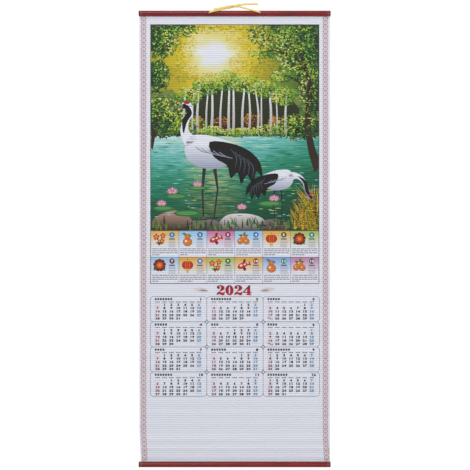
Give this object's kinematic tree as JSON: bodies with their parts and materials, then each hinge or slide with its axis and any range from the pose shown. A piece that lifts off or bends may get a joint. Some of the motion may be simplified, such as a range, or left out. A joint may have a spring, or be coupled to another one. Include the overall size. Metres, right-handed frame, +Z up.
{
  "type": "wall calendar",
  "caption": "Tall wall calendar printed on a hanging mat of narrow paper slats, held between rounded plastic rails with end caps and hung by a knotted cord.",
  "frame": {"origin": "middle of the top rail's flat back, which lies on the wall", "axes": "+X to the viewer's right, +Y into the wall, +Z up; the print faces -Y"},
  "size_m": [0.32, 0.0125, 0.7753],
  "materials": {
    "printed_paper": "ridged paper slats, printed in colour",
    "rail_plastic": "glossy maroon extrusion",
    "cap_plastic": "dark brown moulded plastic",
    "cord_braid": "gold-coloured braided cord"
  },
  "bodies": {
    "root": {"mat": "printed_paper", "top_rail": "rail_plastic", "bottom_rail": "rail_plastic", "top_left_end_cap": "cap_plastic", "top_right_end_cap": "cap_plastic", "bottom_left_end_cap": "cap_plastic", "bottom_right_end_cap": "cap_plastic", "hanging_cord": "cord_braid"}
  },
  "joints": []
}
